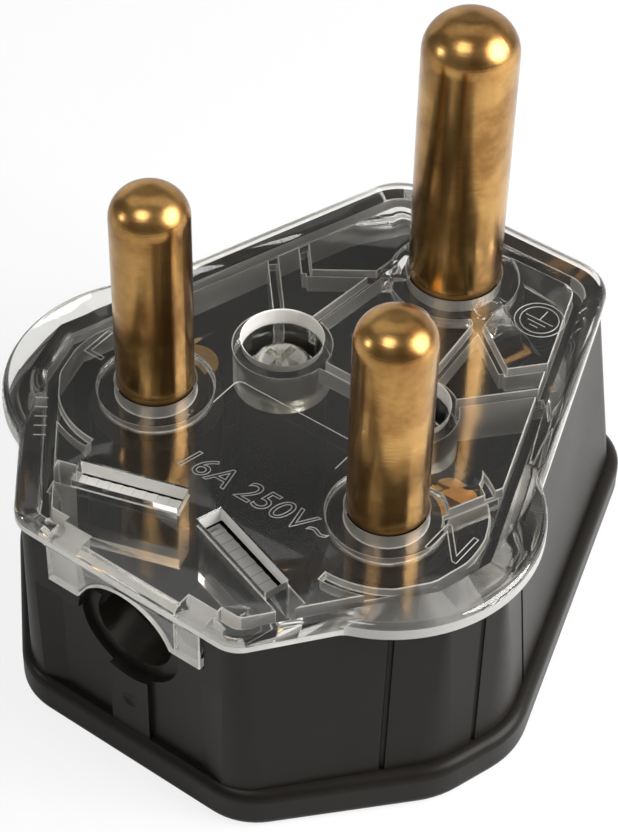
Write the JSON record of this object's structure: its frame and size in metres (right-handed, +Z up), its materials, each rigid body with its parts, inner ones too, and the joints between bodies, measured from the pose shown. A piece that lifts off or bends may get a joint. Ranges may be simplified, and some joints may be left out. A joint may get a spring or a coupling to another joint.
{
  "type": "round-pin three-pin mains plug",
  "caption": "Mains plug with round brass pins standing up from a clear cover on a black shell, with a cord entry under an arch in the cover and screws sunk in clear wells.",
  "frame": {"origin": "middle of the underside of the shell's flange", "axes": "+Z up along the pins, +Y from the cord entry to the earth pin, +X from the live pin to the neutral pin"},
  "size_m": [0.0534, 0.0586, 0.0534],
  "materials": {
    "clear_plastic": "clear moulded polycarbonate, polished",
    "black_plastic": "black moulded plastic, satin",
    "pin_brass": "solid brass, drawn, aged",
    "terminal_brass": "turned brass",
    "zinc_steel": "zinc-plated steel"
  },
  "bodies": {
    "root": {"front_cover": "clear_plastic", "back_shell": "black_plastic", "live_pin": "pin_brass", "neutral_pin": "pin_brass", "earth_pin": "pin_brass", "live_terminal_screw": "terminal_brass", "neutral_terminal_screw": "terminal_brass", "earth_terminal_screw": "terminal_brass", "cover_screw_left": "zinc_steel", "cover_screw_right": "zinc_steel", "cover_insert_left": "terminal_brass", "cover_insert_right": "terminal_brass"}
  },
  "joints": []
}
